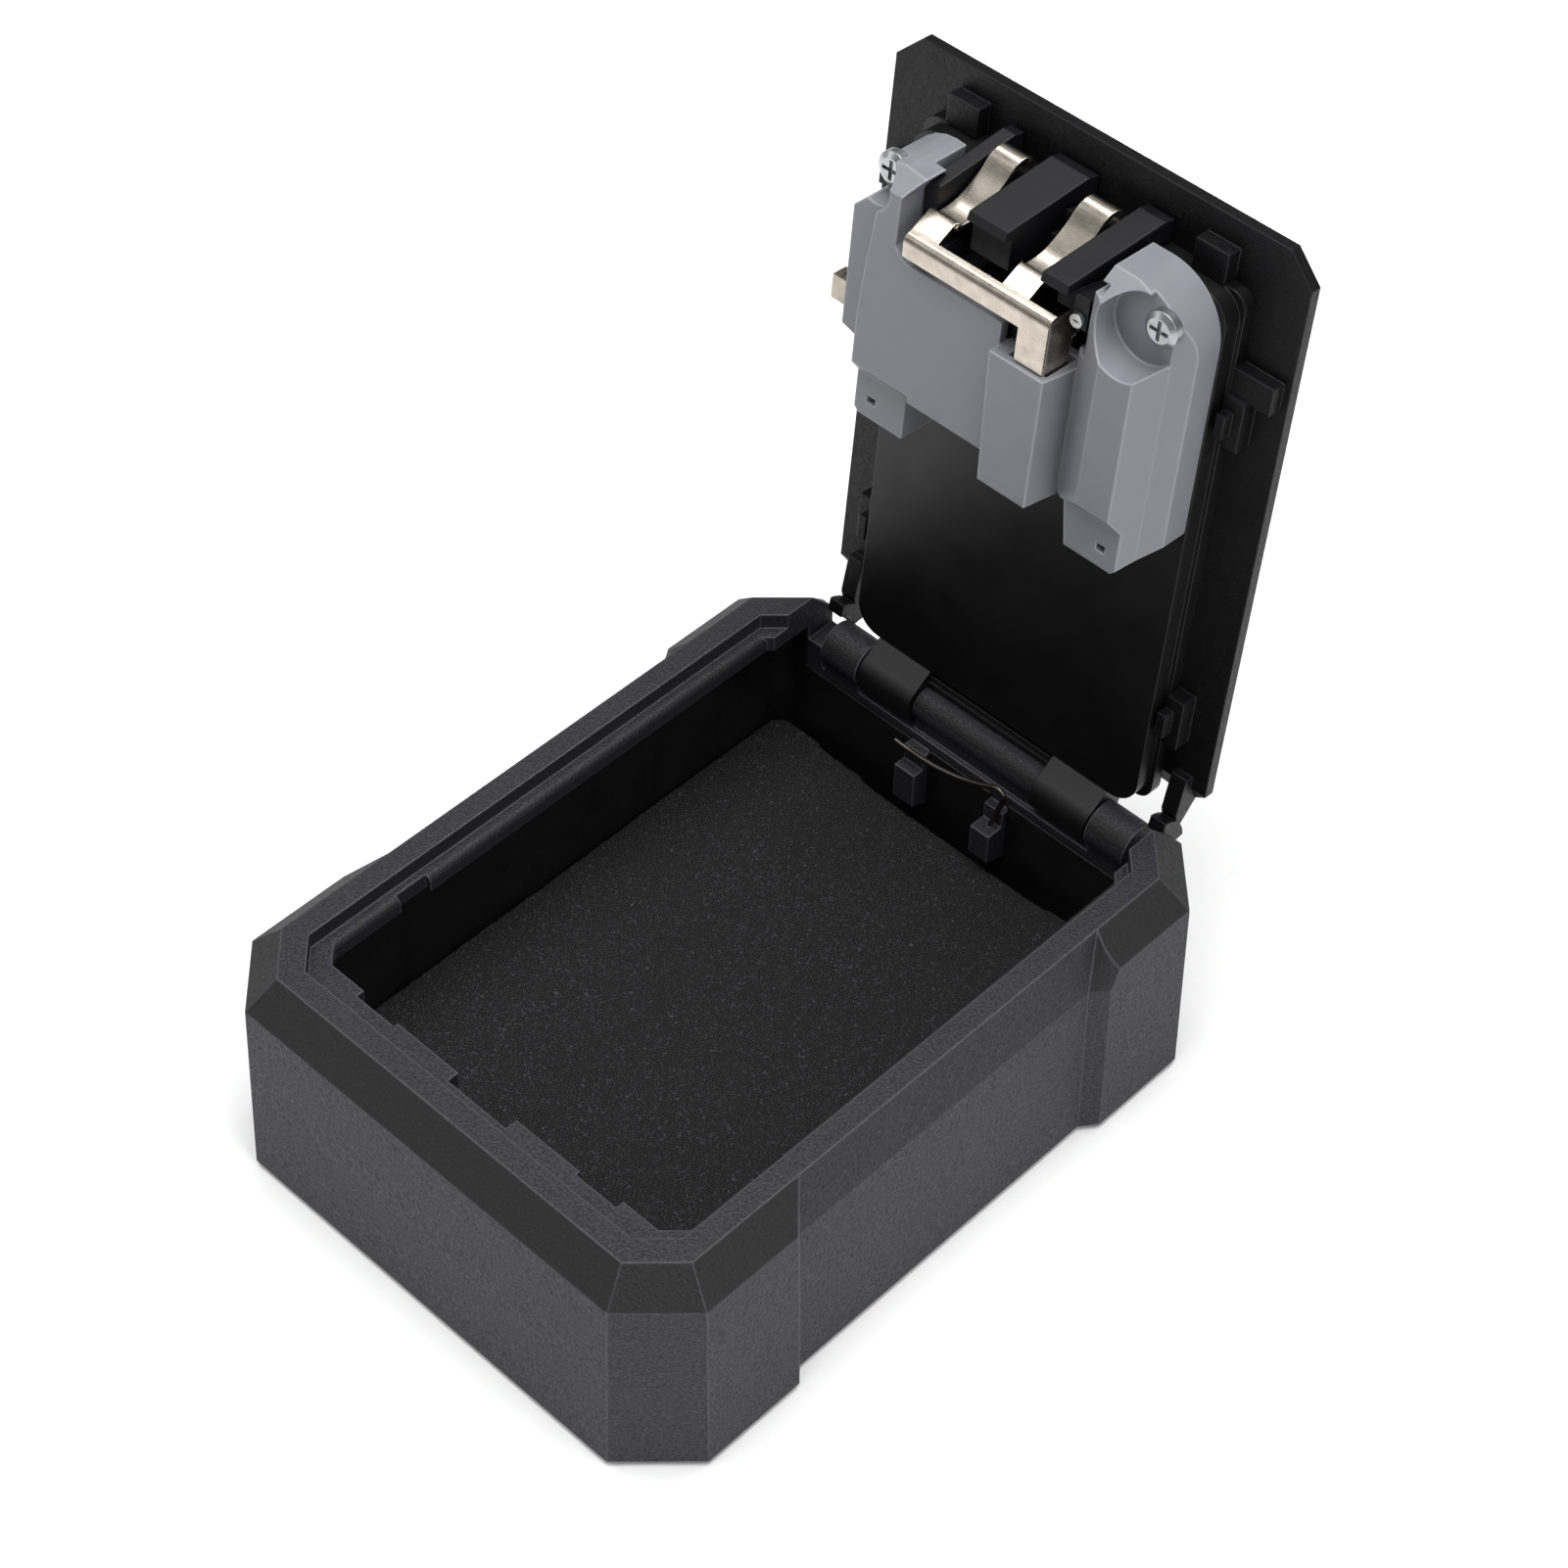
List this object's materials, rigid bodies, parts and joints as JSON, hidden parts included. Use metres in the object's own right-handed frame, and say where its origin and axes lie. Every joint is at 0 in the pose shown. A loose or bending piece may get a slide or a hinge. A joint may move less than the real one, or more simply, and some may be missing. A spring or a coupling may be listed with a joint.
{
  "type": "key box",
  "caption": "Wall-mount shielded key box with hinged combination lid, sliding latch, grey lock housing, foam-lined key space and wire key spring.",
  "frame": {"origin": "middle of the flat back face, which is also the middle of the four wall screw holes", "axes": "+X along the hinge, +Y from the latch wall to the hinge wall (up when hung on a wall), +Z out of the wall, out of the mouth of the box"},
  "size_m": [0.1076, 0.1533, 0.1569],
  "materials": {
    "shell_abs": "fine spark-eroded grain, moulded",
    "lid_abs": "fine grain outside, smooth inside, moulded",
    "frame_abs": "smooth moulded",
    "liner_foil": "black-lacquered shielding foil",
    "foam": "closed-cell conductive foam, fine cells",
    "housing_nylon": "moulded, faint satin",
    "guide_acetal": "smooth moulded",
    "slider_abs": "fine grain, moulded",
    "dial_acetal": "moulded, plain numerals",
    "brass": "turned",
    "nickel_steel": "nickel plated, stamped",
    "zinc_steel": "zinc plated, cold headed",
    "bright_steel": "drawn",
    "spring_steel": "drawn wire and strip"
  },
  "bodies": {
    "box": {"body_shell": "shell_abs", "shield_liner": "liner_foil", "foam_pad": "foam", "key_wire": "spring_steel", "hinge_pin": "bright_steel"},
    "lid": {"lid_plate": "lid_abs", "lid_frame": "frame_abs", "lid_shield": "liner_foil", "lock_housing": "housing_nylon", "housing_screws": "zinc_steel", "latch_guide": "guide_acetal", "guide_screw": "zinc_steel", "dial_shaft": "bright_steel", "detent_spring": "spring_steel", "latch_spring": "spring_steel"},
    "latch": {"latch_plate": "nickel_steel", "latch_carriage": "guide_acetal", "carriage_pins": "zinc_steel"},
    "slider": {"open_slider": "slider_abs"},
    "lever": {"reset_lever": "nickel_steel"},
    "dial_1": {"dial_1": "dial_acetal", "code_sleeve_1": "brass"},
    "dial_2": {"dial_2": "dial_acetal", "code_sleeve_2": "brass"},
    "dial_3": {"dial_3": "dial_acetal", "code_sleeve_3": "brass"},
    "dial_4": {"dial_4": "dial_acetal", "code_sleeve_4": "brass"}
  },
  "joints": [
    {"name": "lid_hinge", "type": "hinge", "parent": "box", "child": "lid", "pos_m": [0, 0.0646, 0.0359], "axis": [1, 0, 0], "range_deg": [0, 94.5]},
    {"name": "latch_slide", "type": "slide", "parent": "lid", "child": "latch", "axis": [0, 0.0785, 0.9969], "range_m": [0, 0.0032]},
    {"name": "slider_slide", "type": "slide", "parent": "lid", "child": "slider", "axis": [0, 0.0785, 0.9969], "range_m": [0, 0.0032]},
    {"name": "reset_slide", "type": "slide", "parent": "lid", "child": "lever", "axis": [0, 0.0785, 0.9969], "range_m": [0, 0.006]},
    {"name": "dial_1_spin", "type": "hinge", "parent": "lid", "child": "dial_1", "pos_m": [-0.0114, 0.07373, 0.12004], "axis": [1, 0, 0], "continuous": true},
    {"name": "dial_2_spin", "type": "hinge", "parent": "lid", "child": "dial_2", "pos_m": [-0.0038, 0.07373, 0.12004], "axis": [1, 0, 0], "continuous": true},
    {"name": "dial_3_spin", "type": "hinge", "parent": "lid", "child": "dial_3", "pos_m": [0.0038, 0.07373, 0.12004], "axis": [1, 0, 0], "continuous": true},
    {"name": "dial_4_spin", "type": "hinge", "parent": "lid", "child": "dial_4", "pos_m": [0.0114, 0.07373, 0.12004], "axis": [1, 0, 0], "continuous": true}
  ],
  "couplings": [
    {"joint": "slider_slide", "follows": "latch_slide", "ratio": 1}
  ]
}
